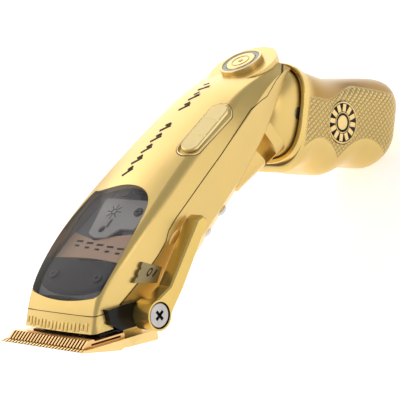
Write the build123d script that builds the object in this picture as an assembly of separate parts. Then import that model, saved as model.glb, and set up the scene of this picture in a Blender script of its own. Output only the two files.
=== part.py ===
"""Cordless hair clipper with a folding pistol grip, as an assembly of separate parts.

Working frame (millimetres): Y runs back along the body, Z up through the window, X to the lever
side. The working origin is the middle of the line of blade tips. Each part is moved by
TO_ORIGIN when it is written, so that the finished origin is the guard seat under the blade.
"""

import os
from math import cos, radians, sin, tan

from build123d import *

os.makedirs("parts", exist_ok=True)

# ---------------------------------------------------------------- driving dimensions
BLADE_WIDTH = 46.0          # standard clipper blade
BLADE_DEPTH = 35.5
BLADE_PITCH = 37.0          # blade plane below the body axis, degrees
BLADE_TOP = 0.6             # top face of the fixed blade above the tip plane
TOE_SLOPE = 9.7             # underside of the blade's toe, degrees from the blade plane
GUARD_SEAT = 8.0            # distance of the origin behind the blade tips
TOOTH_COUNT = 26
MOVING_WIDTH = 42.0
TIP_GAP = 1.8               # moving tips behind the fixed tips at rest

WALL = 2.0                  # casing wall
LID_WALL = 1.6
LID_GAP = 0.15
SEAM_GAP = 0.12
FIT = 0.05                  # radial clearance of a running fit

LEVER_AXIS = (29.0, -12.6)  # taper lever axis, (y, z)
CRANK = 2.1                 # crank pin radius of the taper cam

ARM_PIVOT_Y = 66.0
FINGER_S = 13.0             # drive finger, distance behind the tips

BUTTON_CENTRE = (143.7, 2.15)
BUTTON_TILT = 13.6
BEZEL_RADIUS = 8.8
LEDGE_RADIUS = 14.3

SWITCH_CENTRE = (14.6, 101.5)
SWITCH_LENGTH = 29.0
SWITCH_WIDTH = 8.2

HINGE = (139.0, -22.0)      # fold axis of the handle, (y, z)
COLLAR_TILT = 36.5          # slope of the collar's rim plane
FOLD = 32.0                 # the handle folds up by this much
COLLAR_HALF_WIDTH = 20.5
COLLAR_HALF_HEIGHT = 20.2
RIM_WALL = 1.5
BARREL_HALF_WIDTH = 18.3
BARREL_RADIUS = 18.2
PIN_RADIUS = 2.5
HANDLE_LENGTH = 63.5
CELL_RADIUS = 9.2
CELL_LENGTH = 24.5
CELL_OFFSET = 7.0           # cell axis towards the back strap
SOCKET_OFFSET = -3.0        # charging socket axis towards the fingers
SOCKET_BORE = 1.8
SOCKET_DEPTH = 10.0
MEDAL_RADIUS = 8.7
MEDAL_PLACE = 26.3          # medallion centre along the grip

# ---------------------------------------------------------------- frames
pitch = radians(BLADE_PITCH)
seat_drop = GUARD_SEAT * tan(radians(TOE_SLOPE)) + 0.1
TO_ORIGIN = Pos(
    0,
    -(GUARD_SEAT * cos(pitch) - seat_drop * sin(pitch)),
    GUARD_SEAT * sin(pitch) + seat_drop * cos(pitch),
)
BLADE = Plane(origin=(0, 0, 0), x_dir=(1, 0, 0), z_dir=(0, sin(pitch), cos(pitch)))
SIDE = Plane(origin=(0, 0, 0), x_dir=(0, 1, 0), z_dir=(1, 0, 0))
fold = radians(COLLAR_TILT)
HANDLE = Plane(
    origin=(0, HINGE[0], HINGE[1]), x_dir=(1, 0, 0), z_dir=(0, sin(fold), -cos(fold))
)
tilt = radians(BUTTON_TILT)
BUTTON = Plane(
    origin=(0, BUTTON_CENTRE[0], BUTTON_CENTRE[1]), x_dir=(1, 0, 0), z_dir=(0, sin(tilt), cos(tilt))
)
FOLD_AXIS = Axis((0, *HINGE), (1, 0, 0))
ABOVE = (Align.CENTER, Align.CENTER, Align.MIN)
BELOW = (Align.CENTER, Align.CENTER, Align.MAX)


def save(node, shape):
    """Move a finished part to the published origin and write it."""
    solids = list(shape.solids()) if hasattr(shape, "solids") else list(shape)
    export_step(TO_ORIGIN * Compound(children=solids), f"parts/{node}.step")


def side_prism(points, x_low, x_high):
    """A solid with a side-view outline in (y, z), between two values of x."""
    outline = SIDE * make_face(Polyline(*points, close=True))
    return Pos(x_low, 0, 0) * extrude(outline, x_high - x_low, dir=(1, 0, 0))


def blade_box(x_span, s_span, n_span):
    """A box in the blade frame from its low and high limits."""
    size = [span[1] - span[0] for span in (x_span, s_span, n_span)]
    middle = [(span[0] + span[1]) / 2 for span in (x_span, s_span, n_span)]
    return BLADE * Pos(*middle) * Box(*size)


def box_between(x_span, y_span, z_span):
    size = [span[1] - span[0] for span in (x_span, y_span, z_span)]
    middle = [(span[0] + span[1]) / 2 for span in (x_span, y_span, z_span)]
    return Pos(*middle) * Box(*size)


def rod_x(radius, x_low, x_high, centre):
    """A cylinder along X about an axis at centre = (y, z)."""
    length = x_high - x_low
    return Pos((x_low + x_high) / 2, *centre) * Rot(0, 90, 0) * Cylinder(radius, length)


def ring(outer, inner, height):
    return Cylinder(outer, height, align=ABOVE) - Cylinder(inner, height, align=ABOVE)


def cross_recess(size, depth):
    """The cross of a driver recess, cut downwards from z = 0."""
    bar = Box(size, size * 0.28, depth, align=BELOW)
    return bar + Rot(0, 0, 90) * bar


def pan_screw(head_radius, head_height, shank_radius, length):
    """A pan-head screw along -Z with the underside of its head at z = 0."""
    head = Cylinder(head_radius, head_height, align=ABOVE)
    head = fillet(head.edges().sort_by(Axis.Z)[-1], head_height * 0.4)
    shank = Cylinder(shank_radius, length, align=BELOW)
    return head + shank - Pos(0, 0, head_height) * cross_recess(head_radius * 1.2, head_height * 0.6)


# ---------------------------------------------------------------- casing
# y, half width, shoulder half width, crown z, crown drop, shoulder radius, crease z, bottom z
STATIONS = [
    (4.0, 19.4, 18.6, -2.4, 0.8, 1.2, -16.0, -22.5),
    (14.0, 19.8, 18.9, 3.0, 1.2, 1.6, -16.0, -22.5),
    (22.0, 20.6, 19.4, 7.8, 1.8, 2.2, -16.0, -22.5),
    (32.0, 22.0, 20.6, 10.6, 2.6, 3.0, -16.0, -22.5),
    (48.0, 23.0, 21.6, 12.2, 3.2, 3.5, -16.0, -22.5),
    (68.0, 22.4, 20.8, 12.0, 3.0, 4.0, -16.0, -22.5),
    (90.0, 20.9, 18.8, 10.4, 2.4, 4.0, -16.5, -22.5),
    (112.0, 19.9, 17.2, 8.0, 2.2, 4.0, -15.8, -21.5),
    (126.0, 19.4, 15.2, 5.6, 1.8, 4.0, -13.6, -18.0),
    (137.0, 19.0, 14.2, 1.7, 1.2, 3.0, -10.5, -14.0),
    (148.0, 18.0, 13.6, -2.4, 0.8, 2.0, -9.0, -11.5),
    (157.0, 14.5, 10.5, -8.0, 0.8, 1.5, -13.5, -15.5),
]


def casing_section(station, inset):
    y, half, shoulder_x, crown, drop, radius, crease, bottom = station
    top = crown - inset
    shoulder = top - drop
    side = min(-2.0, shoulder - 3.0)
    half = half - inset
    shoulder_x = shoulder_x - inset
    floor = bottom + inset
    crease = max(crease, floor + 2.0)
    side = max(side, crease + 1.5)
    lower = [(half, side), (half - 2, crease), (half - 8, floor)]
    mirrored = [(-x, z) for x, z in reversed(lower)]
    outline = ThreePointArc((-shoulder_x, shoulder), (0, top), (shoulder_x, shoulder))
    outline += Polyline((shoulder_x, shoulder), *lower, *mirrored, (-shoulder_x, shoulder))
    face = make_face(outline)
    corners = face.vertices().sort_by(Axis.Y)
    face = fillet(corners[-2:], radius)
    corners = face.vertices().sort_by(Axis.Y)
    face = fillet(corners[:4], 1.6)
    plane = Plane(origin=(0, y, 0), x_dir=(1, 0, 0), z_dir=(0, -1, 0))
    return plane * face


def casing(inset):
    """The outer form, or the form moved in by a wall, which stops short of the rear end."""
    stations = STATIONS if inset == 0 else STATIONS[:-1]
    return loft([casing_section(station, inset) for station in stations])


def superellipse(half_x, half_y, power, count=9):
    """Quarter of a superellipse, from (0, half_y) to (half_x, 0)."""
    points = []
    for step in range(count):
        angle = radians(90 - 90 * step / (count - 1))
        points.append((half_x * max(cos(angle), 0) ** (2 / power), half_y * sin(angle) ** (2 / power)))
    return points


def barrel(half_width, radius, start, sweep):
    """The body swept by the collar's outline turned about the fold axis, from a start angle."""
    points = superellipse(half_width, radius, 3.0)
    curve = Spline(*points, tangents=((1, 0), (0, -1)))
    outline = curve + mirror(curve, Plane.YZ) + Line((-half_width, 0), (half_width, 0))
    face = Plane(origin=(0, *HINGE), x_dir=(1, 0, 0), z_dir=(0, 0, -1)) * make_face(outline)
    # the outline's radius points along -Y here, so the start angle counts from there
    return revolve(face.rotate(FOLD_AXIS, start - 180), FOLD_AXIS, sweep)


def handle_half_space(offset):
    """Everything on the handle's side of the rim plane."""
    return HANDLE * Pos(0, 0, offset + 60) * Box(120, 160, 120)


SEAM = [
    (9.0, 9.0), (13.6, 2.6), (17.0, 0.4), (24.0, -2.6), (46.0, -2.4), (54.0, -1.6), (58.0, 0.0),
    (64.0, 0.3), (97.0, -1.4), (121.0, -1.5), (127.0, -3.0), (131.0, -4.6), (139.0, -3.8),
    (148.0, -4.4), (160.0, -8.0),
]


POST_RADIUS = 2.5
SCREW_POSTS = [(-14.2, 75.0), (14.2, 75.0), (-14.2, 86.0), (14.2, 86.0)]
BOARD_POSTS = [(-8.5, 82.0), (8.5, 82.0), (-8.5, 94.0), (8.5, 94.0)]


def above_seam(gap):
    points = [(y, z + gap) for y, z in SEAM]
    return side_prism(points + [(160, 40), (9, 40)], -40, 40)


def below_seam():
    return side_prism(SEAM + [(160, -60), (0, -60), (0, 9)], -40, 40)


def lid_outline(inset):
    side = 19.6 - inset
    front = 17.4 + inset
    rear = 68.4 - inset
    curve = ThreePointArc((-side + 1.0, 20.4), (0, front), (side - 1.0, 20.4))
    curve += ThreePointArc((side - 1.0, 20.4), (side + 0.3, 38), (side - 1.6, 57))
    arch = [(side - 1.6, 57), (side * 0.70, rear - 3.0), (0, rear), (-side * 0.70, rear - 3.0)]
    arch.append((-side + 1.6, 57))
    curve += Spline(*arch, tangents=((-0.18, 1), (-0.18, -1)))
    curve += ThreePointArc((-side + 1.6, 57), (-side - 0.3, 38), (-side + 1.0, 20.4))
    face = make_face(curve)
    corners = face.vertices().sort_by(Axis.Y)[:2]
    return extrude(fillet(corners, 4.0), 40)


def switch_frame():
    """The tangent plane of the casing at the switch."""
    x, y = SWITCH_CENTRE
    return Plane(origin=(x, y, 8.0), x_dir=(0.975, 0, -0.22), z_dir=(0.22, 0.1, 0.97))


SWITCH = switch_frame()


def long_slot(length, width, low, high):
    """A round-ended block whose length runs along local Y."""
    face = Rot(0, 0, 90) * SlotOverall(length, width)
    return Pos(0, 0, low) * extrude(face, high - low)


outer = casing(0)
inner = casing(WALL)
shell = outer - inner - box_between((-40, 40), (148.4, 175), (-40, 20))
nose_cut = blade_box((-40, 40), (-20, 60), (-60, 4.3))
sweep_cut = barrel(COLLAR_HALF_WIDTH + 0.5, COLLAR_HALF_HEIGHT + 1.0, COLLAR_TILT - 6, FOLD + 9)
ledge_disc = BUTTON * Pos(0, 0, -2.2) * Cylinder(LEDGE_RADIUS, 6.0, align=BELOW)
ledge_solid = ledge_disc & box_between((-30, 30), (120, 175), (-4.6, 10))


def neck_housing():
    """Rear knuckle: a barrel about the fold axis and the block that ties it to the casing."""
    body = barrel(BARREL_HALF_WIDTH, BARREL_RADIUS, 0, 360)
    sections = []
    outlines = ((99, -24, -12, 31, 5), (112, -26.2, -9, 34, 6), (126, -30, -8, 35, 7))
    for y, low, high, width, radius in outlines:
        plane = Plane(origin=(0, y, (low + high) / 2), x_dir=(1, 0, 0), z_dir=(0, -1, 0))
        sections.append(plane * RectangleRounded(width, high - low, radius))
    body += loft(sections)
    for side in (-1, 1):
        pocket = [(112.5, -14.5), (120.0, -14.5), (120.0, -25.5), (114.0, -25.5)]
        wedge = side_prism(pocket, 15.0, 22.0)
        wedge = wedge.rotate(Axis((15.0, 112.5, -20), (0, 0, 1)), 18)
        body -= wedge if side > 0 else mirror(wedge, Plane.YZ)
    cavity = rod_x(13.5, -12.5, 12.5, HINGE)
    cavity += box_between((-9, 9), (95, 128), (-21, -13))
    slot = HANDLE * Pos(0, 0, 12) * Box(12.6, 18, 24)
    for step in (1, 2, 3):
        slot += (HANDLE * Pos(0, 0, 12) * Box(12.6, 18, 24)).rotate(FOLD_AXIS, FOLD * step / 3)
    well = BUTTON * Cylinder(3.2, 20, align=BELOW)
    bore = rod_x(PIN_RADIUS + 0.02, -30, 30, HINGE)
    return body - cavity - slot - well - bore


neck = neck_housing()


def upper_shell():
    part = (shell + (ledge_solid - inner)) & above_seam(SEAM_GAP / 2)
    part -= lid_outline(0)
    part -= BUTTON * Pos(0, 0, -3.2) * Cylinder(BEZEL_RADIUS + 0.03, 8, align=ABOVE)
    part -= BUTTON * Cylinder(3.2, 30)
    part -= SWITCH * long_slot(SWITCH_LENGTH, SWITCH_WIDTH, -1.1, 6)
    part -= SWITCH * long_slot(12, 3.4, -8, 6)
    part -= sweep_cut
    part -= handle_half_space(-1.2)
    part -= neck
    part -= thumb_recess()
    for x, y in SCREW_POSTS:
        roof = Pos(x, y, -0.8) * Cylinder(POST_RADIUS, 12, align=ABOVE)
        part += (roof & outer) - SWITCH * long_slot(SWITCH_LENGTH, SWITCH_WIDTH, -1.1, 6)
        part -= Pos(x, y, -1) * Cylinder(1.3, 7, align=ABOVE)
    return part.solids().sort_by(SortBy.VOLUME)[-1]


def lower_shell():
    part = shell & below_seam()
    part -= nose_cut
    floor = outer & blade_box((-40, 40), (0, 40), (4.3, 6.3)) & below_seam()
    part += floor
    pad = blade_box((-14.5, 14.5), (26.5, 35.5), (BLADE_TOP + 0.02, 4.4))
    part += pad
    part -= blade_box((-4.2, 4.2), (9, 18), (0, 6.5))
    part -= blade_box((15.6, 18.9), (25, 36.5), (0, 8.0))
    for x in (-9, 9):
        part -= BLADE * Pos(x, 31, 0) * Cylinder(1.52, 30)
    part -= rod_x(3.05, 15, 30, LEVER_AXIS)
    part -= thumb_recess()
    part -= sweep_cut
    part -= handle_half_space(-1.2)
    part -= neck
    part -= BUTTON * Cylinder(3.2, 60)
    for x, y in SCREW_POSTS:
        part += Pos(x, y, -1.2) * Cylinder(POST_RADIUS, 20.5, align=BELOW)
        part -= Pos(x, y, -24) * Cylinder(1.62, 30, align=ABOVE)
        part -= Pos(x, y, -19.5) * Cylinder(3.0, 5, align=BELOW)
    for x, y in BOARD_POSTS:
        part += Pos(x, y, -4.2) * Cylinder(2.0, 17, align=BELOW)
        part -= Pos(x, y, -4.2) * Cylinder(0.82, 8, align=BELOW)
    return part.solids().sort_by(SortBy.VOLUME)[-1]


def thumb_recess():
    """Shallow scoop in the casing beside the lever's tip."""
    return Pos(31.6, 58.5, -4.5) * Rot(0, 0, 2) * scale(Sphere(10), (0.94, 1.5, 0.6))


def window_lid():
    part = (outer - casing(LID_WALL)) & lid_outline(LID_GAP)
    return part.solids().sort_by(SortBy.VOLUME)[-1]



# ---------------------------------------------------------------- blades
def tooth_gaps(count, spread, gap, s_span, n_span):
    """Gaps between teeth, evenly spaced across a blade."""
    step = spread / (count - 1)
    cutter = Box(gap, s_span[1] - s_span[0], n_span[1] - n_span[0])
    middle = ((s_span[0] + s_span[1]) / 2, (n_span[0] + n_span[1]) / 2)
    return BLADE * Pos(0, *middle) * GridLocations(step, 1, count, 1) * cutter


def blade_profile(points, width):
    """Outline in the blade's (s, n) plane, made as wide as the blade."""
    plane = Plane(origin=(-width / 2, 0, 0), x_dir=BLADE.y_dir, z_dir=(1, 0, 0))
    return extrude(plane * make_face(Polyline(*points, close=True)), width)


def fixed_blade():
    toe = 17.3
    toe_drop = -0.1 - toe * tan(radians(TOE_SLOPE))
    outline = [(0, -0.1), (0, 0.2), (1.2, BLADE_TOP), (BLADE_DEPTH, BLADE_TOP), (BLADE_DEPTH, -3.2)]
    outline += [(21.0, -2.7), (19.2, -2.4), (toe, toe_drop)]
    part = blade_profile(outline, BLADE_WIDTH)
    part -= tooth_gaps(TOOTH_COUNT, BLADE_WIDTH - 2.6, 0.8, (-1, 5.6), (-4, 2))
    part -= blade_box((-16, 16), (8, 20), (BLADE_TOP - 0.7, 2))
    for x in BLADE_SCREWS:
        part -= BLADE * Pos(x, 31, 0) * Cylinder(1.6, 10)
        part -= BLADE * Pos(x, 31, -3.3) * Cone(3.1, 1.6, 1.6, align=ABOVE)
    return part


BLADE_SCREWS = (-9.0, 9.0)


def blade_screws():
    group = []
    for x in BLADE_SCREWS:
        screw = Cone(2.85, 1.5, 1.5, align=ABOVE) + Cylinder(1.5, 9.5, align=ABOVE)
        screw -= Rot(180, 0, 0) * cross_recess(3.4, 0.9)
        group.append(BLADE * Pos(x, 31, -3.15) * screw)
    return Compound(children=group)


def moving_blade():
    back = 21.4
    under = BLADE_TOP + FIT
    outline = [(TIP_GAP, under), (TIP_GAP, 0.9), (4.4, 3.1), (6.8, 3.2), (7.6, 2.4)]
    outline += [(back, 2.4), (back, under)]
    part = blade_profile(outline, MOVING_WIDTH)
    part -= tooth_gaps(TOOTH_COUNT - 2, MOVING_WIDTH - 2.8, 0.85, (0, 5.0), (0, 5))
    for side in (-1, 1):
        ends = sorted((side * 18.6, side * 22))
        part -= blade_box(ends, (5.6, 19.6), (1.05, 1.8))
    part -= blade_box((-3.5, 3.5), (10, 16.4), (1.4, 4))
    part -= blade_box((-1.6, 1.6), (11.2, 15.9), (0.5, 1.5))
    return part


def drive_socket():
    part = blade_box((-3.45, 3.45), (10.05, 16.35), (1.4, 3.6))
    return part - blade_box((-0.9, 0.9), (11.7, 15.4), (1.3, 4))


def blade_guide():
    part = blade_box((-14.5, 14.5), (8.6, 22.8), (2.55, 3.45))
    part -= blade_box((-5.5, 5.5), (9.4, 17.0), (2, 4))
    part += blade_box((-14.0, 14.0), (21.65, 22.6), (0.8, 3.0))
    part += blade_box((14.0, 18.4), (12.0, 20.0), (2.55, 3.45))
    part += blade_box((16.2, 18.4), (12.0, 33.6), (2.55, 3.45))
    part += blade_box((16.2, 18.4), (28.2, 33.6), (2.6, 6.9))
    axis_s, axis_n = lever_in_blade()
    part -= blade_box((16, 19), (axis_s - 0.87, axis_s + 0.87), (axis_n - CRANK - 1.0, 8))
    return part


def lever_in_blade():
    """The lever axis as (s, n) in the blade frame."""
    y, z = LEVER_AXIS
    return y * cos(pitch) - z * sin(pitch), y * sin(pitch) + z * cos(pitch)


def blade_springs():
    """Two bowed wires that press the moving blade down through the guide."""
    group = []
    for x in (-10.0, 10.0):
        group.append(BLADE * Pos(x, 15.4, 3.87) * Rot(90, 0, 0) * Cylinder(0.38, 11.0))
    return Compound(children=group)


# ---------------------------------------------------------------- taper lever
def lever_bracket():
    """Black carrier beside the nose, wrapped round the front of the lever boss."""
    outline = [(15.6, -3.4), (18.4, 1.6), (24.5, -2.6), (29.5, -6.4), (34.5, -12.0), (31.5, -19.0)]
    outline += [(27.0, -19.4), (20.6, -13.8), (17.6, -8.8)]
    part = side_prism(outline, 17.0, 22.3)
    part -= outer
    part -= blade_box((-40, 40), (-20, 60), (-60, 3.7))
    part -= rod_x(6.0, 21.4, 40, LEVER_AXIS)
    part -= rod_x(3.02, 15, 40, LEVER_AXIS)
    part -= side_prism([(30, -2), (40, -2), (40, -24), (31.5, -24)], 21.4, 40)
    return part.solids().sort_by(SortBy.VOLUME)[-1]


def lever_bushing():
    return rod_x(3.0, 18.95, 21.3, LEVER_AXIS) - rod_x(2.4 + FIT, 18, 24, LEVER_AXIS)


def taper_lever():
    arm = [(27.0, -7.4), (33.5, -8.2), (40.0, -9.4), (66.0, -2.3), (68.9, -3.2), (69.4, -5.6), (68.0, -7.2)]
    arm += [(43.5, -14.8), (36.0, -16.4), (30.0, -18.0)]
    part = side_prism(arm, 24.0, 30.3)
    part = chamfer(part.edges().filter_by(Axis.X, reverse=True).group_by(Axis.X)[-1], 0.6)
    part -= side_prism([(44.5, -13.0), (66.0, -5.9), (66.0, -12.0), (44.5, -18.0)], 23.0, 27.8)
    part += rod_x(5.65, 22.0, 30.6, LEVER_AXIS)
    part -= rod_x(4.75, 28.8, 31, LEVER_AXIS)
    part -= rod_x(2.4, 20, 31, LEVER_AXIS)
    return part


def lever_cam():
    """Shaft with the crank pin that pushes the blade guide."""
    part = rod_x(2.4, 18.9, 28.0, LEVER_AXIS)
    part += rod_x(2.95, 18.55, 18.93, LEVER_AXIS)
    axis_s, axis_n = lever_in_blade()
    pin = BLADE * Pos(0, axis_s, axis_n - CRANK) * Rot(0, 90, 0) * Cylinder(0.75, 2.7)
    part += pin.moved(Location((17.25, 0, 0)))
    return part - rod_x(1.5, 20.5, 29, LEVER_AXIS)


def lever_screw():
    head = Cylinder(4.55, 1.5, align=ABOVE)
    head = fillet(head.edges().sort_by(Axis.Z)[-1], 0.5)
    head -= Pos(0, 0, 1.5) * cross_recess(4.4, 1.0)
    screw = head + Cylinder(1.48, 7.5, align=BELOW)
    return Pos(28.85, *LEVER_AXIS) * Rot(0, 90, 0) * screw


def lever_washer():
    return rod_x(5.2, 21.5, 21.95, LEVER_AXIS) - rod_x(2.45, 21, 23, LEVER_AXIS)


def detent_plate():
    """Steel scale plate with two notches, laid on the side of the casing."""
    outline = [(32.7, 0.0), (40.9, 2.1), (45.8, -6.2), (40.1, -8.4)]
    part = side_prism(outline, 20.5, 23.65)
    for y, z in ((35.4, 0.9), (38.4, 1.7)):
        part -= rod_x(0.75, 20, 25, (y, z))
    return (part - outer).solids().sort_by(SortBy.VOLUME)[-1]


# ---------------------------------------------------------------- motor
clear = casing(WALL + 0.1)
FRAME_SCREWS = [(-12.0, 28.5), (12.0, 28.5), (9.8, 60.0)]


def motor_frame():
    plate = lid_outline(1.2) & box_between((-22, 22), (20, 66.5), (3.4, 4.8))
    part = plate & clear
    part -= box_between((-7, 7), (30, 52), (3, 5))
    part += Pos(0, ARM_PIVOT_Y, 3.4) * Cylinder(4.0, 1.4, align=ABOVE)
    for x, y in FRAME_SCREWS + [(-9.8, 60.0)]:
        low = -12.2 if y < 30 else -20.4
        part += Pos(x, y, low) * Cylinder(2.2, 4.0 - low, align=ABOVE)
        part -= Pos(x, y, -4) * Cylinder(1.02, 12, align=ABOVE)
    part -= Pos(0, ARM_PIVOT_Y, 0) * Cylinder(1.5, 20)
    base = box_between((-13.5, 13.5), (57.5, 70.0), (-15.0, -12.6))
    base -= Pos(0, ARM_PIVOT_Y, -14) * Cylinder(1.5, 20)
    return (part + base) & clear


def front_cover():
    part = (lid_outline(1.6) & box_between((-22, 22), (20, 36.4), (4.85, 5.6))) & clear
    for x, y in FRAME_SCREWS:
        part -= Pos(x, y, 5) * Cylinder(1.1, 4)
    return part


def band_plate():
    face = make_face(
        ThreePointArc((-22, 36.0), (0, 37.6), (22, 36.0))
        + Polyline((22, 36.0), (22, 51.5), (6, 49.0), (-4, 46.0), (-22, 50.0), (-22, 36.0))
    )
    part = lid_outline(1.4) & Pos(0, 0, 4.85) * extrude(face, 0.65)
    part = part & clear
    return part - (lid_outline(1.6) & box_between((-22, 22), (20, 36.45), (4, 6)))


def cover_plate():
    """Upper plate with a tear-shaped hole, over the rear of the motor."""
    outline = [(-13, 66), (-9, 48.5), (-4.5, 46.8), (1.5, 47.5), (6, 52), (13.5, 52), (13.5, 66)]
    face = fillet(make_face(Polyline(*outline, close=True)).vertices(), 1.2)
    part = Pos(0, 0, 5.55) * extrude(face, 0.75)
    hole = Pos(-3.5, 51, 6) * Cylinder(1.6, 4) + Pos(-1.8, 54, 6) * Box(1.6, 4, 4)
    part -= hole
    for x, y in FRAME_SCREWS:
        part -= Pos(x, y, 6) * Cylinder(1.1, 4)
    return part & clear


def frame_screws():
    group = []
    for x, y in FRAME_SCREWS:
        seat = 5.6 if y < 30 else 6.3
        group.append(Pos(x, y, seat) * pan_screw(1.9, 0.9, 0.98, seat + 3.0))
    return Compound(children=group)


def stator_core():
    part = box_between((-14, 14), (34, 50), (-18, -13))
    for side in (-1, 1):
        part += box_between(sorted((side * 8.2, side * 14)), (34, 50), (-13, 3.0))
    return part & clear


def coils():
    group = []
    for side in (-1, 1):
        winding = box_between(sorted((side * 6.4, side * 15.6)), (32.3, 51.7), (-11.5, 1.2))
        winding = fillet(winding.edges().filter_by(Axis.Z), 1.2)
        group.append(winding - box_between(sorted((side * 8.2, side * 14)), (34, 50), (-14, 4)))
    return Compound(children=group)


def drive_arm():
    outline = [(-4, 62), (-4, 30), (-2.2, 24), (-2.2, 14.2), (2.2, 14.2), (2.2, 24), (4, 30), (4, 62)]
    part = Pos(0, 0, -1.6) * extrude(make_face(Polyline(*outline, close=True)), 2.0)
    part += box_between((-4, 4), (34, 50), (-6, 3.0))
    part += Pos(0, ARM_PIVOT_Y, -3) * Cylinder(5.5, 5.0, align=ABOVE)
    part -= Pos(0, ARM_PIVOT_Y, -4) * Cylinder(2.6, 8.0, align=ABOVE)
    return part - BLADE * Pos(0, FINGER_S, 5) * Cylinder(0.8, 20)


def arm_bushing():
    return Pos(0, ARM_PIVOT_Y, -3) * ring(2.6, 1.5 + FIT, 5.0)


def drive_finger():
    return BLADE * Pos(0, FINGER_S, 1.6) * Cylinder(0.8, 7.4, align=ABOVE)


def arm_magnets():
    group = [box_between(sorted((side * 4.0, side * 4.9)), (35, 49), (-5.5, 2.6)) for side in (-1, 1)]
    return Compound(children=group)


def pivot_pin():
    return Pos(0, ARM_PIVOT_Y, -14.8) * Cylinder(1.5, 19.4, align=ABOVE)


# ---------------------------------------------------------------- electrics and controls
def circuit_board():
    part = box_between((-11.3, 11.3), (78, 124), (-4.2, -2.6))
    for x, y in BOARD_POSTS:
        part -= Pos(x, y, -3) * Cylinder(0.95, 6)
    return part


def board_screws():
    return Compound(children=[Pos(x, y, -2.6) * pan_screw(1.6, 0.9, 0.8, 6.0) for x, y in BOARD_POSTS])


def board_chips():
    places = [(-5, 100, 6, 5), (3, 104, 4, 4), (-4, 112, 8, 6), (5, 117, 5, 3)]
    chips = [Pos(x, y, -2.6) * Box(wide, deep, 1.2, align=ABOVE) for x, y, wide, deep in places]
    return Compound(children=chips)


def switch_body():
    foot = box_between((9.6, 11.3), (95, 108), (-2.6, 2.6))
    return foot + box_between((11.2, 16.4), (95, 108), (-2.4, 2.6))


def switch_slider():
    """Thumb slide of three raised pads over one tongue."""
    length = SWITCH_LENGTH - 2.6
    width = SWITCH_WIDTH - 0.7
    pad = long_slot(length, width, -0.95, 0.45)
    pad = chamfer(pad.edges().group_by(Axis.Z)[-1], 0.35)
    for y in (-length / 6, length / 6):
        pad -= Pos(0, y, 0.5) * Rot(45, 0, 0) * Box(12, 0.7, 0.7)
    pad += Pos(0, 0, -4.4) * Box(2.4, 6.0, 4.0, align=ABOVE)
    return SWITCH * Pos(0, 0.7, 0) * pad


def button_bezel():
    part = ring(BEZEL_RADIUS, 7.72, 3.15)
    part = fillet(part.edges().group_by(Axis.Z)[-1], 0.35)
    return BUTTON * Pos(0, 0, -3.15) * part


def indicator_ring():
    return BUTTON * Pos(0, 0, -3.15) * ring(7.66, 6.2, 2.8)


def release_button():
    cap = Cylinder(6.05, 1.9, align=ABOVE)
    cap = fillet(cap.edges().sort_by(Axis.Z)[-1], 0.5)
    stem = Cylinder(1.6, 13.3, align=BELOW)
    stem -= Pos(0, 0, -7.75) * ring(3, 1.25, 0.6)
    return BUTTON * Pos(0, 0, -1.9) * (cap + stem)


def button_clip():
    return BUTTON * Pos(0, 0, -9.6) * ring(2.7, 1.25, 0.5)


def lock_guide():
    return BUTTON * Pos(0, 0, -9.0) * ring(3.15, 1.68, 1.5)


def button_spring():
    turn = Helix(pitch=1.0, height=4.9, radius=2.25)
    wire = Plane(origin=turn @ 0, z_dir=turn % 0) * Circle(0.22)
    return BUTTON * Pos(0, 0, -7.2) * sweep(wire, path=turn)


def housing_screws():
    group = []
    for x, y in SCREW_POSTS:
        screw = pan_screw(2.7, 1.6, 1.28, 23.0)
        group.append(Pos(x, y, -19.5) * Rot(180, 0, 0) * screw)
    return Compound(children=group)


# ---------------------------------------------------------------- handle
# distance along the grip, front (finger side), back strap, half width, corner radius
GRIP = [
    (2.6, -19.8, 19.4, 19.2, 12.5),
    (10.0, -20.6, 17.9, 18.8, 12.0),
    (20.0, -21.4, 17.0, 18.2, 11.5),
    (30.0, -20.0, 17.8, 17.8, 11.0),
    (39.0, -16.0, 19.6, 17.6, 10.5),
    (48.0, -16.0, 21.0, 17.4, 10.5),
    (56.0, -13.8, 21.4, 17.0, 10.5),
    (60.5, -10.4, 20.2, 15.4, 10.0),
    (HANDLE_LENGTH, -5.6, 16.0, 11.4, 8.0),
]


def grip_form(inset, low, high):
    """Loft of the grip's rounded sections between two distances from the fold axis."""
    sections = []
    for along, front, back, half, radius in GRIP:
        if low <= along <= high:
            deep = back - front - 2 * inset
            middle = -(back + front) / 2
            face = RectangleRounded(2 * (half - inset), deep, radius - inset)
            sections.append(HANDLE * Pos(0, middle, along) * face)
    return loft(sections)


def across_grip(along, towards_back, radius, x_low, x_high):
    """A cylinder along X at a place given along the grip and towards the back strap."""
    middle = (x_low + x_high) / 2
    return HANDLE * Pos(middle, -towards_back, along) * Rot(0, 90, 0) * Cylinder(radius, x_high - x_low)


barrel_clear = barrel(BARREL_HALF_WIDTH + 0.45, BARREL_RADIUS + 0.45, 0, 360)
GRIP_SCREWS = [(24.0, -14.5), (45.0, -10.6)]


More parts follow.
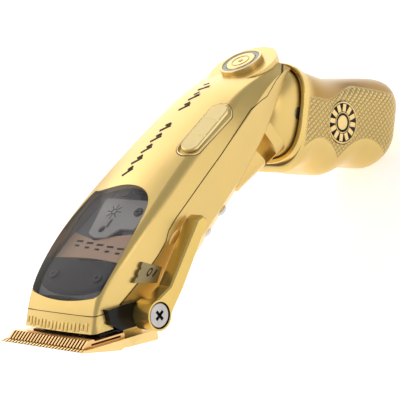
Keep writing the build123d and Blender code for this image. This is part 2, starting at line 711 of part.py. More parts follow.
def grip_body():
    part = grip_form(0, 0, 99)
    cavity = grip_form(2.4, 19, 60)
    ends = HANDLE * Pos(0, 0, 57.8) * Box(40, 50, 14, align=ABOVE)
    cavity += (grip_form(2.4, 50, 99) & HANDLE * Pos(0, -2, 55) * Box(22, 22, 12)) - ends
    part -= cavity
    part -= barrel_clear
    part -= HANDLE * Pos(0, 0, 15) * Box(12, 17, 14)
    part -= HANDLE * Pos(0, SOCKET_OFFSET, 40) * Cylinder(3.45, 30, align=ABOVE)
    cell_space = Cylinder(CELL_RADIUS + 0.1, CELL_LENGTH + 0.6, align=ABOVE)
    part -= HANDLE * Pos(0, -CELL_OFFSET, 24.6) * cell_space
    for along, back in GRIP_SCREWS:
        part += across_grip(along, back, 2.6, -13, 13)
        part -= across_grip(along, back, 1.22, -20, 9)
        part -= across_grip(along, back, 2.4, -25, -11.0)
    for side in (-1, 1):
        part -= across_grip(MEDAL_PLACE, 0, MEDAL_RADIUS + 0.05, *sorted((side * 16.9, side * 24)))
    return part


def half_of(part, side):
    block = HANDLE * Pos(side * 30.03, 0, 40) * Box(60, 80, 140)
    return (part & block).solids().sort_by(SortBy.VOLUME)[-1]


def collar_ring():
    """Bright rim of the cup in which the barrel turns."""
    faces = []
    for shrink in (0, RIM_WALL):
        quarter = superellipse(COLLAR_HALF_WIDTH - shrink, COLLAR_HALF_HEIGHT - shrink, 3.0, 7)
        right = quarter + [(x, -y) for x, y in reversed(quarter[:-1])]
        left = [(-x, y) for x, y in reversed(right[1:-1])]
        faces.append(make_face(Spline(*right, *left, periodic=True)))
    rim = extrude(faces[0], 2.6) - extrude(faces[1], 2.6)
    front = rim.edges().group_by(Axis.Z)[0].sort_by(SortBy.LENGTH)[-1]
    return HANDLE * fillet(front, 0.6)


def hinge_knuckle():
    """Hub on the hinge pin with the tongue that carries the grip."""
    part = rod_x(7.5, -5, 5, HINGE)
    part += HANDLE * Pos(0, 0, 4) * Box(10, 13, 19.5, align=ABOVE)
    part += HANDLE * Pos(0, 0, 20.2) * Box(24, 20, 3.2, align=ABOVE)
    part -= HANDLE * Pos(0, 0, 21) * Cylinder(2.0, 10)
    for turn in (0, FOLD):
        groove = BUTTON * Pos(0, 0, -16.9) * Rot(0, 90, 0) * Cylinder(1.1, 12)
        part -= groove.rotate(FOLD_AXIS, -turn)
    return part - rod_x(PIN_RADIUS + FIT, -20, 20, HINGE)


def hinge_pin():
    return rod_x(PIN_RADIUS, -18.0, 18.0, HINGE)


def friction_bushes():
    group = []
    for side in (-1, 1):
        low, high = sorted((side * 5.1, side * 12.45))
        group.append(rod_x(6.0, low, high, HINGE) - rod_x(PIN_RADIUS + 0.02, low, high, HINGE))
    return Compound(children=group)


def battery_cell():
    cell = Cylinder(CELL_RADIUS, CELL_LENGTH, align=ABOVE)
    cell = fillet(cell.edges(), 0.6)
    cap = Pos(0, 0, CELL_LENGTH) * Cylinder(2.6, 0.3, align=ABOVE)
    return HANDLE * Pos(0, -CELL_OFFSET, 24.8) * (cell + cap)


def charge_board():
    return HANDLE * Pos(0, 4.8, 38) * Box(18, 1.4, 20)


def charging_socket():
    part = Cylinder(3.4, 13.0, align=BELOW)
    part -= Cylinder(SOCKET_BORE, SOCKET_DEPTH, align=BELOW)
    return HANDLE * Pos(0, SOCKET_OFFSET, HANDLE_LENGTH) * part


def medallion(side):
    low, high = sorted((side * 16.95, side * 18.25))
    disc = across_grip(MEDAL_PLACE, 0, MEDAL_RADIUS, low, high)
    rim = disc.edges().filter_by(GeomType.CIRCLE).sort_by(Axis.X)[-1 if side > 0 else 0]
    return fillet(rim, 0.3)


def grip_screws():
    group = []
    for along, back in GRIP_SCREWS:
        screw = pan_screw(2.2, 1.4, 1.18, 20.0)
        place = HANDLE * Pos(-11.0, -back, along) * Rot(0, -90, 0)
        group.append(place * screw)
    return Compound(children=group)


grip = grip_body()
PARTS = {
    "upper_shell": upper_shell, "lower_shell": lower_shell, "window_lid": window_lid,
    "neck_housing": lambda: neck, "fixed_blade": fixed_blade, "blade_screws": blade_screws,
    "moving_blade": moving_blade, "drive_socket": drive_socket, "blade_guide": blade_guide,
    "blade_springs": blade_springs, "lever_bracket": lever_bracket, "lever_bushing": lever_bushing,
    "taper_lever": taper_lever, "lever_cam": lever_cam, "lever_screw": lever_screw,
    "lever_washer": lever_washer, "detent_plate": detent_plate, "motor_frame": motor_frame,
    "front_cover": front_cover, "band_plate": band_plate, "cover_plate": cover_plate,
    "frame_screws": frame_screws, "stator_core": stator_core, "coils": coils,
    "drive_arm": drive_arm, "arm_bushing": arm_bushing, "drive_finger": drive_finger,
    "arm_magnets": arm_magnets, "pivot_pin": pivot_pin, "circuit_board": circuit_board,
    "board_screws": board_screws, "board_chips": board_chips, "switch_body": switch_body,
    "switch_slider": switch_slider, "button_bezel": button_bezel, "indicator_ring": indicator_ring,
    "release_button": release_button, "button_clip": button_clip, "lock_guide": lock_guide,
    "button_spring": button_spring, "housing_screws": housing_screws,
    "grip_right": lambda: half_of(grip, 1), "grip_left": lambda: half_of(grip, -1),
    "collar_ring": collar_ring, "hinge_knuckle": hinge_knuckle, "hinge_pin": hinge_pin,
    "friction_bushes": friction_bushes, "battery_cell": battery_cell, "charge_board": charge_board,
    "charging_socket": charging_socket, "medallion_right": lambda: medallion(1),
    "medallion_left": lambda: medallion(-1), "grip_screws": grip_screws,
}
for node, make in PARTS.items():
    save(node, make())
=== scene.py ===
from math import atan2, cos, pi, radians, sin

import bpy
from mathutils import Matrix, Vector


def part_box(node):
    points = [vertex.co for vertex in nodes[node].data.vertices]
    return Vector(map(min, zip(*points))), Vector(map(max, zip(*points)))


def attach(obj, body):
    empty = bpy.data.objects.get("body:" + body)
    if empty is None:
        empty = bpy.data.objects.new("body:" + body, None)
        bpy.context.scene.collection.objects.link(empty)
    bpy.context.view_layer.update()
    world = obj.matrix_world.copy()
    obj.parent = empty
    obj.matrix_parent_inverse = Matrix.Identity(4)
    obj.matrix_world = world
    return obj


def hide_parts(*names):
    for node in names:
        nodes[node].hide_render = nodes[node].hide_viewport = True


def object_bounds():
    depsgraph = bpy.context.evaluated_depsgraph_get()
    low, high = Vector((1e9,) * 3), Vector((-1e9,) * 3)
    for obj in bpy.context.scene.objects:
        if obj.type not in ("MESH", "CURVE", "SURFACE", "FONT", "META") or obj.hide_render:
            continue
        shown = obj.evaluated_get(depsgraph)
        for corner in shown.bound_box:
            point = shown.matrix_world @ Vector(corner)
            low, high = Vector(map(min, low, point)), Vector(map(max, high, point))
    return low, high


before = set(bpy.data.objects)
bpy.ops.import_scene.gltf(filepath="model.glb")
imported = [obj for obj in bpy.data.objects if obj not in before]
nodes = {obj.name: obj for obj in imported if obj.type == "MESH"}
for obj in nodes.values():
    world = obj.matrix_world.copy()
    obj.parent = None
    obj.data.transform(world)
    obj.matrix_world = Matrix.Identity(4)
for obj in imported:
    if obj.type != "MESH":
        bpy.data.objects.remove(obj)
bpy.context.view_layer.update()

# ---- Camera
# A long lens looks down on the lever side from in front of the nose, a little rolled.
# It stands three quarters of a metre off, so that casing and grip keep their proportions.
camera_data = bpy.data.cameras.new("clipper_camera")
camera_data.lens = 180
camera_data.sensor_width = 36
camera_data.clip_end = 20
camera = bpy.data.objects.new("clipper_camera", camera_data)
bpy.context.collection.objects.link(camera)
camera_place = Vector((0.5512, -0.2586, 0.3935))
right = Vector((0.693956, 0.511455, -0.506792))
up = Vector((-0.044955, 0.733265, 0.678455))
back = Vector((0.718613, -0.448035, 0.531846))
camera_turn = Matrix((right, up, back)).transposed()
camera.matrix_world = Matrix.Translation(camera_place) @ camera_turn.to_4x4()
bpy.context.scene.camera = camera

# ---- Casing halves and rear neck
# Two moulded shells and the knuckle housing behind them, sprayed with satin champagne lacquer.
# The lacquer has a fine metallic flake and a clear coat that softens the highlights.
mm = 0.001


def new_finish(name, colour, roughness, metallic):
    """A material with its shader and object coordinates ready."""
    finish = bpy.data.materials.new(name)
    finish.use_nodes = True
    tree = finish.node_tree
    shader = tree.nodes["Principled BSDF"]
    shader.inputs["Base Color"].default_value = (*colour, 1)
    shader.inputs["Roughness"].default_value = roughness
    shader.inputs["Metallic"].default_value = metallic
    place = tree.nodes.new("ShaderNodeTexCoord")
    return finish, tree, shader, place


def mottle(tree, place, shader, colour, amount, scale):
    """Slow change of shade over the surface."""
    cloud = tree.nodes.new("ShaderNodeTexNoise")
    cloud.inputs["Scale"].default_value = scale
    cloud.inputs["Detail"].default_value = 3
    tree.links.new(place.outputs["Object"], cloud.inputs["Vector"])
    shade = tree.nodes.new("ShaderNodeValToRGB")
    shade.color_ramp.elements[0].position = 0.3
    shade.color_ramp.elements[1].position = 0.7
    shade.color_ramp.elements[0].color = (*[part * (1 - amount) for part in colour], 1)
    shade.color_ramp.elements[1].color = (*[min(part * (1 + amount), 1) for part in colour], 1)
    tree.links.new(cloud.outputs["Fac"], shade.inputs["Fac"])
    tree.links.new(shade.outputs["Color"], shader.inputs["Base Color"])


def grain(tree, place, shader, scale, strength, stretch=(1, 1, 1)):
    """Fine relief: flake in lacquer, spark texture on plastic, or brushing when stretched."""
    turn = tree.nodes.new("ShaderNodeMapping")
    turn.inputs["Scale"].default_value = stretch
    speck = tree.nodes.new("ShaderNodeTexNoise")
    speck.inputs["Scale"].default_value = scale
    speck.inputs["Detail"].default_value = 2
    relief = tree.nodes.new("ShaderNodeBump")
    relief.inputs["Strength"].default_value = strength
    relief.inputs["Distance"].default_value = 0.1 * mm
    tree.links.new(place.outputs["Object"], turn.inputs["Vector"])
    tree.links.new(turn.outputs["Vector"], speck.inputs["Vector"])
    tree.links.new(speck.outputs["Fac"], relief.inputs["Height"])
    tree.links.new(relief.outputs["Normal"], shader.inputs["Normal"])


def plain_lacquer(name, colour, roughness=0.3):
    """Satin metallic lacquer under a clear coat, before any relief."""
    finish, tree, shader, place = new_finish(name, colour, roughness, 0.88)
    mottle(tree, place, shader, colour, 0.05, 30)
    shader.inputs["Coat Weight"].default_value = 0.25
    shader.inputs["Coat Roughness"].default_value = 0.22
    return finish, tree, shader, place


def lacquer(name, colour, roughness=0.3):
    """The same lacquer with its fine flake."""
    finish, tree, shader, place = plain_lacquer(name, colour, roughness)
    grain(tree, place, shader, 4200, 0.12)
    return finish


def coat(finish, *names):
    """Gives CAD nodes a finish in place of the plain one they come with."""
    for name in names:
        node = nodes[name]
        node.data.materials.clear()
        node.data.materials.append(finish)


def link_math(tree, kind, first, second=None):
    """A Math node fed by sockets or numbers."""
    node = tree.nodes.new("ShaderNodeMath")
    node.operation = kind
    for socket, value in zip(node.inputs, (first, second)):
        if isinstance(value, (int, float)):
            socket.default_value = value
        elif value is not None:
            tree.links.new(value, socket)
    return node.outputs[0]


def place_of(tree):
    """The place on the piece, as its three measures."""
    parts = tree.nodes.new("ShaderNodeSeparateXYZ")
    tree.links.new(tree.nodes["Texture Coordinate"].outputs["Object"], parts.inputs[0])
    return parts.outputs


def darken(tree, amount, colour):
    """Mixes a dark shade into the finish where the amount is high."""
    base = tree.nodes["Principled BSDF"].inputs["Base Color"]
    mixer = tree.nodes.new("ShaderNodeMix")
    mixer.data_type = "RGBA"
    mixer.inputs["B"].default_value = (*colour, 1)
    tree.links.new(amount, mixer.inputs["Factor"])
    tree.links.new(base.links[0].from_socket, mixer.inputs["A"])
    tree.links.new(mixer.outputs["Result"], base)


casing_gold = lacquer("casing_gold", (0.74, 0.53, 0.18))
coat(casing_gold, "upper_shell", "lower_shell")
coat(lacquer("neck_gold", (0.74, 0.52, 0.17)), "neck_housing")

# The parting line between the halves collects shadow: its height in millimetres is drawn
# against the length, on a curve that spans both.
curve_length = 160
curve_height = 60
parting_line = (
    (5.6, 15.0), (8.1, 8.6), (11.5, 6.4), (18.5, 3.4), (40.5, 3.6), (48.5, 4.4), (52.5, 6.0), (58.5, 6.3),
    (91.5, 4.6), (115.5, 4.5), (121.5, 3.0), (125.5, 1.4), (133.5, 2.2), (142.5, 1.6), (154.5, -0.3),
)
tree = casing_gold.node_tree
parting = tree.nodes.new("ShaderNodeFloatCurve")
curve = parting.mapping.curves[0]
knots = [(y / curve_length, 0.5 + z / curve_height) for y, z in parting_line]
curve.points[0].location = knots[0]
curve.points[-1].location = knots[-1]
for knot in knots[1:-1]:
    curve.points.new(*knot)
for point in curve.points:
    point.handle_type = "VECTOR"
parting.mapping.update()
casing_place = place_of(tree)
share_along = link_math(tree, "MULTIPLY", casing_place["Y"], 1 / (curve_length * mm))
tree.links.new(share_along, parting.inputs["Value"])
above_middle = link_math(tree, "SUBTRACT", parting.outputs[0], 0.5)
line_height = link_math(tree, "MULTIPLY", above_middle, curve_height * mm)
apart = link_math(tree, "ABSOLUTE", link_math(tree, "SUBTRACT", casing_place["Z"], line_height))
half_line = 0.22 * mm
darken(tree, link_math(tree, "LESS_THAN", apart, half_line), (0.10, 0.06, 0.015))

# ---- Clear lid over the motor
# A polished window of smoke tinted polycarbonate, snapped into the upper shell.
# The plates below and their screws show through it.
smoke_grey = (0.03, 0.028, 0.033)
smoke, tree, shader, place = new_finish("smoke_window", smoke_grey, 0.12, 0.0)
mottle(tree, place, shader, smoke_grey, 0.1, 20)
shader.inputs["Alpha"].default_value = 0.28
shader.inputs["Specular IOR Level"].default_value = 0.7
coat(smoke, "window_lid")

# ---- Plates under the lid
# A dark front cover, a copper coloured band and a grey rear cover, held by three dark screws.
# The band carries rows of plain printed bars, and the rear cover a small printed rosette.


def moulded(name, colour, roughness=0.45, texture=0.2, shine=0.5):
    """Plastic with a fine spark texture from the tool."""
    finish, tree, shader, place = new_finish(name, colour, roughness, 0.0)
    shader.inputs["Specular IOR Level"].default_value = shine
    mottle(tree, place, shader, colour, 0.08, 60)
    grain(tree, place, shader, 2500, texture)
    return finish


coat(moulded("front_cover_grey", (0.018, 0.018, 0.022), 0.45, 0.04), "front_cover")
coat(moulded("frame_grey", (0.30, 0.29, 0.32), 0.45, 0.04), "motor_frame")
coat(moulded("rear_cover_grey", (0.84, 0.82, 0.82), 0.5, 0.04), "cover_plate")
copper = (0.95, 0.62, 0.42)
band_finish, tree, shader, place = new_finish("band_copper", copper, 0.35, 0.2)
mottle(tree, place, shader, copper, 0.06, 40)
grain(tree, place, shader, 900, 0.1, (1, 12, 1))
coat(band_finish, "band_plate")


def deselect():
    for thing in bpy.context.selected_objects:
        thing.select_set(False)


def finish_piece(name, finish, body):
    """Names the piece just made, puts its place in its mesh and hangs it on its body."""
    piece = bpy.context.object
    piece.name = name
    bpy.ops.object.transform_apply(location=True, rotation=True, scale=True)
    bpy.ops.object.shade_smooth_by_angle(angle=radians(35))
    piece.data.materials.clear()
    piece.data.materials.append(finish)
    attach(piece, body)
    return piece


def bevel_edges(width):
    """Rounds every edge of the active piece."""
    piece = bpy.context.object
    rounding = piece.modifiers.new("rounding", "BEVEL")
    rounding.width = width
    rounding.segments = 2
    rounding.limit_method = "ANGLE"
    rounding.angle_limit = radians(40)
    bpy.ops.object.modifier_apply(modifier="rounding")


def join(pieces):
    """Makes one mesh of several."""
    deselect()
    for piece in pieces:
        piece.select_set(True)
    bpy.context.view_layer.objects.active = pieces[0]
    bpy.ops.object.join()


def block(place, size, rounding, turn=(0, 0, 0)):
    """A block with rounded edges at a place."""
    deselect()
    bpy.ops.mesh.primitive_cube_add(size=1, location=place, rotation=turn, scale=size)
    bpy.ops.object.transform_apply(location=False, rotation=False, scale=True)
    bevel_edges(rounding)
    return bpy.context.object


def ring(place, radius, thick, turn=(0, 0, 0), segments=32, sides=8):
    """A round ring at a place."""
    deselect()
    bpy.ops.mesh.primitive_torus_add(
        location=place, rotation=turn, major_radius=radius, minor_radius=thick,
        major_segments=segments, minor_segments=sides,
    )
    return bpy.context.object


band_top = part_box("band_plate")[1][2]
ink = moulded("dark_print", (0.03, 0.02, 0.01), 0.5, 0.05, 0.15)
bar_rise = 0.1 * mm
bars = []
for step in range(5):
    x = (-11.5 + 6.0 * step) * mm
    y = (39.6 - 0.5 * step) * mm
    for bar_length, ahead in ((3.6 * mm, 0), (2.4 * mm, 2.2 * mm)):
        bar_place = (x, y - ahead, band_top + bar_rise / 2)
        bars.append(block(bar_place, (bar_length, 0.9 * mm, bar_rise), 0.04 * mm))
join(bars)
finish_piece("band_bars", ink, "housing")

cover_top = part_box("cover_plate")[1][2]
rosette_x = -3.5 * mm
rosette_y = 54.2 * mm
stroke_reach = 2.6 * mm
stroke_size = (2.0 * mm, 0.35 * mm, 0.08 * mm)
strokes = []
for step in range(8):
    angle = step * pi / 4
    x = rosette_x + stroke_reach * cos(angle)
    y = rosette_y + stroke_reach * sin(angle)
    strokes.append(block((x, y, cover_top + 0.04 * mm), stroke_size, 0.03 * mm, (0, 0, angle)))
strokes.append(ring((rosette_x, rosette_y, cover_top + 0.02 * mm), 1.2 * mm, 0.16 * mm))
join(strokes)
finish_piece("cover_rosette", ink, "housing")

# ---- Blades
# Hardened steel blades with a gold coating: a fixed blade screwed under the nose and a moving
# blade over it. Both are ground lengthwise, and the gaps between teeth carry a reddish painted shade.


def facing_of(tree):
    """The way the surface looks, as its three parts."""
    facing = tree.nodes.new("ShaderNodeNewGeometry")
    parts = tree.nodes.new("ShaderNodeSeparateXYZ")
    tree.links.new(facing.outputs["Normal"], parts.inputs[0])
    return parts.outputs


def blade_finish(name, colour):
    """Coated steel, with a reddish painted shade on the flanks of the teeth but not on the blade's own two
    ends.
    """
    finish, tree, shader, place = new_finish(name, colour, 0.28, 1.0)
    mottle(tree, place, shader, colour, 0.08, 120)
    grain(tree, place, shader, 1500, 0.25, (0.05, 1, 1))
    # Painted shade, reddish, on the sideways facing flanks in the gaps between the teeth.
    sideways = link_math(tree, "GREATER_THAN", link_math(tree, "ABSOLUTE", facing_of(tree)["X"]), 0.8)
    from_middle = link_math(tree, "ABSOLUTE", place_of(tree)["X"])
    between_ends = link_math(tree, "LESS_THAN", from_middle, 20.6 * mm)
    darken(tree, link_math(tree, "MULTIPLY", between_ends, sideways), (0.16, 0.03, 0.012))
    return finish


coat(blade_finish("fixed_blade_gold", (0.86, 0.62, 0.26)), "fixed_blade")
coat(blade_finish("moving_blade_gold", (0.80, 0.50, 0.22)), "moving_blade")
carrier_black = moulded("carrier_black", (0.008, 0.006, 0.005), 0.16, 0.05, 0.2)
coat(carrier_black, "drive_socket", "blade_guide", "lock_guide", "switch_body")

# ---- Raised bars on the nose
# The lip above the blade carries a row of small moulded ribs, part of the lower shell.
# Each stands square to the lip under it, and every third rib is shorter.
ribs = []
for step in range(17):
    x = (-17.2 + 2.05 * step) * mm
    ahead = Vector((x, -20 * mm, 5.9 * mm))
    found, rib_place, normal = nodes["lower_shell"].ray_cast(ahead, Vector((0, 1, 0)))[:3]
    if found:
        tall = (3.3 if step % 3 else 2.4) * mm
        lean = atan2(normal.z, -normal.y)
        ribs.append(block(rib_place, (1.15 * mm, 0.7 * mm, tall), 0.3 * mm, (-lean, 0, 0)))
join(ribs)
finish_piece("nose_ribs", casing_gold, "housing")

# ---- Taper lever and its boss
# A cast lever with a round boss, lacquered like the casing, held by one large cross-head screw.
# Painted shade darkens the face of the boss close round the screw, and the floor of the screw's cross.
lever_axis = (0, 23.494 * mm, -6.614 * mm)
shade_radius = 4.95 * mm
lever_gold = lacquer("lever_gold", (0.76, 0.53, 0.15), 0.26)
coat(lever_gold, "taper_lever")
tree = lever_gold.node_tree
flat = tree.nodes.new("ShaderNodeVectorMath")
flat.operation = "MULTIPLY"
flat.inputs[1].default_value = (0, 1, 1)
reach = tree.nodes.new("ShaderNodeVectorMath")
reach.operation = "DISTANCE"
reach.inputs[1].default_value = lever_axis
tree.links.new(tree.nodes["Texture Coordinate"].outputs["Object"], flat.inputs[0])
tree.links.new(flat.outputs["Vector"], reach.inputs[0])
darken(tree, link_math(tree, "LESS_THAN", reach.outputs["Value"], shade_radius), (0.07, 0.03, 0.008))


def machined(name, colour, roughness=0.3, stretch=(1, 1, 1)):
    """Turned or ground metal."""
    finish, tree, shader, place = new_finish(name, colour, roughness, 1.0)
    mottle(tree, place, shader, colour, 0.08, 200)
    grain(tree, place, shader, 1800, 0.15, stretch)
    return finish


screw_steel = machined("screw_steel", (0.66, 0.63, 0.60), 0.25)
coat(screw_steel, "lever_washer", "lever_cam", "blade_screws", "housing_screws")
coat(screw_steel, "grip_screws", "board_screws", "pivot_pin", "hinge_pin", "button_clip", "hinge_knuckle")
lever_steel = machined("lever_screw_steel", (0.50, 0.48, 0.46), 0.32)
coat(lever_steel, "lever_screw")
tree = lever_steel.node_tree
# Painted shade on the floor of the screw's cross.
recess_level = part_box("lever_screw")[1][0] - 0.35 * mm
cross_floor_shade = link_math(tree, "LESS_THAN", place_of(tree)["X"], recess_level)
darken(tree, cross_floor_shade, (0.02, 0.015, 0.012))
coat(machined("dark_screw_steel", (0.10, 0.10, 0.11), 0.35), "frame_screws")
coat(machined("spring_wire", (0.5, 0.49, 0.47), 0.3), "button_spring", "blade_springs")
bronze = machined("sintered_bronze", (0.55, 0.38, 0.16), 0.4)
coat(bronze, "arm_bushing", "lever_bushing", "friction_bushes", "drive_finger", "charging_socket")

# ---- Bracket and scale plate beside the lever
# A glossy black carrier at the nose, and a pressed steel plate with the taper positions.
# The plate's two numerals are dark and stand a little proud of the steel.
coat(carrier_black, "lever_bracket")
coat(machined("scale_steel", (0.30, 0.24, 0.13), 0.35, (1, 0.1, 1)), "detent_plate")
plate_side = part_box("detent_plate")[1][0]
zero = ring((plate_side, 35.0 * mm, 3.1 * mm), 1.1 * mm, 0.3 * mm, (0, pi / 2, 0))
zero.scale = (0.6, 1.45, 0.6)
bpy.ops.object.transform_apply(location=False, rotation=False, scale=True)
one = block((plate_side, 36.4 * mm, 0.9 * mm), (0.2 * mm, 3.3 * mm, 0.62 * mm), 0.05 * mm)
join([zero, one])
finish_piece("scale_numerals", ink, "housing")

# ---- Motor, battery and board
# Working parts inside the casing, seen only through the lid or when it is taken apart:
# steel laminations, copper windings, ferrite magnets, green boards and a sleeved cell.
coat(machined("laminations", (0.25, 0.25, 0.26), 0.45, (1, 1, 8)), "stator_core", "drive_arm")
coat(machined("winding_copper", (0.62, 0.25, 0.10), 0.3, (1, 1, 6)), "coils")
coat(moulded("ferrite", (0.06, 0.06, 0.065), 0.6), "arm_magnets")
coat(moulded("board_green", (0.02, 0.10, 0.05), 0.3), "circuit_board", "charge_board")
coat(moulded("chip_black", (0.02, 0.02, 0.02), 0.5), "board_chips")
coat(moulded("cell_sleeve", (0.03, 0.07, 0.22), 0.25, 0.05), "battery_cell")

# ---- Slide switch
# Three ridged pads on one slide, lacquered, in a recess of the upper shell.
# A raised rim lacquered paler as a painted highlight and, outside it, a thin dark line of painted shadow
# follow the shell round the recess.
coat(lacquer("switch_gold", (0.90, 0.72, 0.34), 0.3), "switch_slider")
switch_centre = Vector((14.6, 95.994, 13.986)) * mm
switch_across = Vector((0.975, 0, -0.22)).normalized()
switch_out = Vector((0.22, 0.1, 0.97)).normalized()
switch_along = switch_out.cross(switch_across)
half_slide = 10.4 * mm


def recess_rim(name, finish, radius, thick):
    """A ring drawn out to the length of the slide and laid on the shell round the recess."""
    segments = 96
    sides = 8
    rim = ring((0, 0, 0), radius, thick, segments=segments, sides=sides)
    for index, vertex in enumerate(rim.data.vertices):
        turn = 2 * pi * (index // sides) / segments
        stretch = half_slide * (1 if sin(turn) > 0 else -1)
        middle = switch_across * radius * cos(turn) + switch_along * (radius * sin(turn) + stretch)
        above = switch_centre + middle + switch_out * 20 * mm
        on_shell = nodes["upper_shell"].ray_cast(above, -switch_out)[1]
        offset = vertex.co - Vector((cos(turn), sin(turn), 0)) * radius
        vertex.co = on_shell + switch_across * offset.x + switch_along * offset.y + switch_out * offset.z
    finish_piece(name, finish, "housing")


# Painted highlight on the rim, and painted shadow in the thin line outside it.
recess_rim("switch_rim", lacquer("rim_highlight_gold", (0.92, 0.74, 0.38), 0.25), 4.35 * mm, 0.28 * mm)
line_shadow = moulded("line_shadow", (0.12, 0.07, 0.02), 0.6, 0.05)
recess_rim("switch_shadow_line", line_shadow, 4.8 * mm, 0.14 * mm)

# ---- Handle release button
# A domed cap in a turned bezel, with a translucent grey light ring between them.
# A plain ring and a raised dot mark the middle of the cap.
coat(lacquer("button_gold", (0.80, 0.59, 0.23), 0.28), "release_button", "button_bezel")
coat(moulded("ring_grey", (0.42, 0.43, 0.44), 0.35, 0.05), "indicator_ring")
button_turn = (-radians(13.6), 0, 0)
button_top = Vector((0, 138.194 * mm, 8.136 * mm))
outer_ring = ring(button_top, 3.6 * mm, 0.18 * mm, button_turn, segments=48)
deselect()
bpy.ops.mesh.primitive_uv_sphere_add(
    location=button_top, rotation=button_turn, radius=1.1 * mm, scale=(1, 1, 0.18), segments=32, ring_count=16
)
join([outer_ring, bpy.context.object])
finish_piece("button_mark", lacquer("mark_gold", (0.42, 0.28, 0.10), 0.35), "button")

# ---- Collar
# A bright rim round the mouth of the grip, where it turns on the neck.
# It is made apart from the halves and lacquered to a higher gloss.
coat(lacquer("collar_gold", (0.80, 0.57, 0.18), 0.16), "collar_ring")

# ---- Grip halves
# Two moulded halves, lacquered. Their sides are cut with a diamond pattern that stops at a
# smooth thumb sweep along the back and at two smooth finger scallops in front.
hinge = Vector((0, 133.494 * mm, -16.014 * mm))
grip_lean = radians(36.5)
along = Vector((0, sin(grip_lean), -cos(grip_lean)))
to_back = Vector((0, cos(grip_lean), sin(grip_lean)))
grip_gold, grip_tree, shader, place = plain_lacquer("grip_gold", (0.74, 0.53, 0.18))


def grip_math(kind, first, second=None):
    """A Math node in the grip's finish."""
    return link_math(grip_tree, kind, first, second)


def ease(value, low, high, first=0.0, last=1.0):
    """A smooth step between two distances in millimetres."""
    node = grip_tree.nodes.new("ShaderNodeMapRange")
    node.interpolation_type = "SMOOTHSTEP"
    grip_tree.links.new(value, node.inputs["Value"])
    for name, number in (("From Min", low), ("From Max", high), ("To Min", first), ("To Max", last)):
        node.inputs[name].default_value = number
    return node.outputs["Result"]


def distance_along(direction):
    """Distance from the fold axis along a direction, in millimetres."""
    shift = grip_tree.nodes.new("ShaderNodeVectorMath")
    shift.operation = "SUBTRACT"
    shift.inputs[1].default_value = hinge
    dot = grip_tree.nodes.new("ShaderNodeVectorMath")
    dot.operation = "DOT_PRODUCT"
    dot.inputs[1].default_value = direction * 1000
    grip_tree.links.new(place.outputs["Object"], shift.inputs[0])
    grip_tree.links.new(shift.outputs["Vector"], dot.inputs[0])
    return dot.outputs["Value"]


def scallop(middle, crest, flare):
    """The edge of one finger scallop, which falls away from its crest on both sides."""
    gap = grip_math("SUBTRACT", down, middle)
    return grip_math("SUBTRACT", crest, grip_math("MULTIPLY", grip_math("MULTIPLY", gap, gap), flare))


# Where the pattern lies: on the sides, below the sweep, above the scallops, short of both ends.
down = distance_along(along)
backward = distance_along(to_back)
side_face = ease(grip_math("ABSOLUTE", facing_of(grip_tree)["X"]), 0.30, 0.5)
sweep_line = ease(down, 14, 35, 7.4, 15.7)
below_sweep = ease(grip_math("SUBTRACT", sweep_line, backward), -0.2, 0.5)
scallop_line = grip_math("MAXIMUM", scallop(14.5, -7.6, 0.052), scallop(43.0, -4.3, 0.034))
above_scallops = ease(grip_math("SUBTRACT", backward, scallop_line), -0.2, 0.5)
between_ends = grip_math("MULTIPLY", ease(down, 4.5, 5.5), ease(down, 61.0, 60.0))
between_edges = grip_math("MULTIPLY", below_sweep, above_scallops)
panel = grip_math("MULTIPLY", between_edges, grip_math("MULTIPLY", between_ends, side_face))

# The pattern itself: two sets of slanted grooves that leave small pyramids.
knurl_pitch = 2.5
rising = grip_math("DIVIDE", grip_math("ADD", down, backward), knurl_pitch)
falling = grip_math("DIVIDE", grip_math("SUBTRACT", down, backward), knurl_pitch)
ridges = grip_math("MINIMUM", grip_math("PINGPONG", rising, 0.5), grip_math("PINGPONG", falling, 0.5))
cut = grip_math("MULTIPLY", ridges, panel)
relief = grip_tree.nodes.new("ShaderNodeBump")
relief.inputs["Strength"].default_value = 1.0
relief.inputs["Distance"].default_value = 0.7 * mm
relief_height = grip_math("ADD", grip_math("MULTIPLY", cut, 1.1), grip_math("MULTIPLY", panel, 0.35))
grip_tree.links.new(relief_height, relief.inputs["Height"])
grip_tree.links.new(relief.outputs["Normal"], shader.inputs["Normal"])
# Painted shade darkens the grooves of the pattern.
groove_shade = grip_math("MULTIPLY", ease(ridges, 0.16, 0.02), panel)
darken(grip_tree, grip_math("MULTIPLY", groove_shade, 0.75), (0.26, 0.16, 0.05))

# Shade gathers in the thumb sweep and in a fine line under the collar.
above_sweep = grip_math("SUBTRACT", backward, sweep_line)
fading = ease(above_sweep, 14.0, 1.5, 0.15, 0.75)
sweep_shade = grip_math("MULTIPLY", ease(above_sweep, -0.3, 0.6), fading)
darken(grip_tree, grip_math("MULTIPLY", sweep_shade, ease(down, 3.5, 9.0)), (0.30, 0.14, 0.02))
darken(grip_tree, ease(down, 3.3, 2.9), (0.16, 0.09, 0.02))
coat(grip_gold, "grip_right", "grip_left")

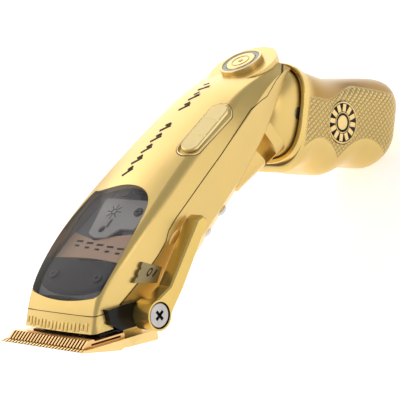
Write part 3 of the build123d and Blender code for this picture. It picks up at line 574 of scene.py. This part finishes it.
# ---- Medallions
# A black disc let into each side of the grip, with a gold rim, straight gold flutes and a dome.
# The gold is one stamping of lacquered metal, pressed onto the disc.
medal_centre = hinge + along * 26.3 * mm
disc_thick = 0.9 * mm
disc_out = 17.42 * mm
face_out = disc_out + disc_thick / 2
flute_reach = 5.95 * mm
flute_size = (0.36 * mm, 3.1 * mm, 1.9 * mm)
medal_black = moulded("medal_black", (0.012, 0.007, 0.004), 0.3, 0.03, 0.15)
medal_gold = lacquer("medal_gold", (0.84, 0.62, 0.26), 0.28)
for side, side_name in ((1, "right"), (-1, "left")):
    face_turn = (0, side * pi / 2, 0)
    outward = Vector((side, 0, 0))
    deselect()
    bpy.ops.mesh.primitive_cylinder_add(
        vertices=96, radius=8.65 * mm, depth=disc_thick, location=medal_centre + outward * disc_out,
        rotation=face_turn,
    )
    bevel_edges(0.12 * mm)
    disc = finish_piece("medal_disc_" + side_name, medal_black, "handle")
    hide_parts("medallion_" + side_name)
    face_centre = medal_centre + outward * face_out
    gold = [
        ring(face_centre, 8.1 * mm, 0.36 * mm, face_turn, segments=96, sides=10),
        ring(face_centre, 4.0 * mm, 0.22 * mm, face_turn, segments=96, sides=10),
    ]
    for step in range(12):
        angle = step * pi / 6
        direction = along * cos(angle) + to_back * sin(angle)
        turn = Matrix((outward, direction, outward.cross(direction))).transposed().to_euler()
        gold.append(block(face_centre + direction * flute_reach, flute_size, 0.12 * mm, turn))
    deselect()
    bpy.ops.mesh.primitive_uv_sphere_add(
        location=face_centre - outward * 0.05 * mm, radius=2.9 * mm, scale=(0.14, 1, 1),
        segments=48, ring_count=24,
    )
    gold.append(bpy.context.object)
    join(gold)
    finish_piece("medal_gold_" + side_name, medal_gold, "handle")

# ---- Printed dashes on the top
# A row of slanted dark dashes, pad printed along the upper shell behind the lid.
# Each pair lies flat on the curved shell, and one place beside the switch is left free.
dash_slant = Matrix.Rotation(radians(14), 3, "Z")
free_step = 5
dashes = []
for step in range(9):
    above = Vector((-4.3 * mm, (69.5 + 50.0 * step / 8) * mm, 100 * mm))
    found, dash_place, normal = nodes["upper_shell"].ray_cast(above, Vector((0, 0, -1)))[:3]
    if step == free_step or not found:
        continue
    turn = (normal.to_track_quat("Z", "Y").to_matrix() @ dash_slant).to_euler()
    second_place = dash_place + Vector((0, 2.2 * mm, -0.02 * mm))
    dashes.append(block(dash_place, (5.0 * mm, 1.5 * mm, 0.08 * mm), 0.03 * mm, turn))
    dashes.append(block(second_place, (2.6 * mm, 1.1 * mm, 0.08 * mm), 0.03 * mm, turn))
join(dashes)
finish_piece("top_dashes", ink, "housing")

# ---- Studio
# A pale floor under the grip's butt, and large soft lights above, in front and behind.
# The floor glows a little, so that only a faint shadow shows on it.
low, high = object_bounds()
floor_white = (0.9, 0.9, 0.9)
middle_y = 0.07
deselect()
bpy.ops.mesh.primitive_plane_add(size=8, location=(0, middle_y, low[2] - 0.5 * mm))
floor = bpy.context.object
floor.name = "studio_floor"
floor_paint, tree, shader, place = new_finish("floor_white", floor_white, 0.9, 0.0)
mottle(tree, place, shader, floor_white, 0.01, 3)
shader.inputs["Emission Color"].default_value = (1.0, 0.99, 0.97, 1)
shader.inputs["Emission Strength"].default_value = 0.55
floor.data.materials.append(floor_paint)
world = bpy.data.worlds.new("studio_air")
bpy.context.scene.world = world
world.use_nodes = True
air = world.node_tree.nodes["Background"]
air.inputs["Color"].default_value = (0.95, 0.97, 1.0, 1)
air.inputs["Strength"].default_value = 0.5
bpy.context.scene.view_settings.view_transform = "Standard"
target = Vector((0, middle_y, 0))
for name, lamp_place, width, power in (
    ("key_light", (-0.78, 0.05, 0.66), 1.2, 4.6),
    ("back_light", (-0.72, 0.92, 0.36), 0.9, 3.4),
    ("front_light", (-0.35, -0.85, 0.55), 0.6, 1.5),
    ("side_light", (0.85, 0.30, 0.15), 0.35, 0.5),
):
    lamp_data = bpy.data.lights.new(name, "AREA")
    lamp_data.size = width
    lamp_data.color = (1.0, 0.94, 0.88)
    lamp_data.energy = power
    lamp = bpy.data.objects.new(name, lamp_data)
    bpy.context.collection.objects.link(lamp)
    lamp.location = lamp_place
    lamp.rotation_euler = (Vector(lamp_place) - target).to_track_quat("Z", "Y").to_euler()
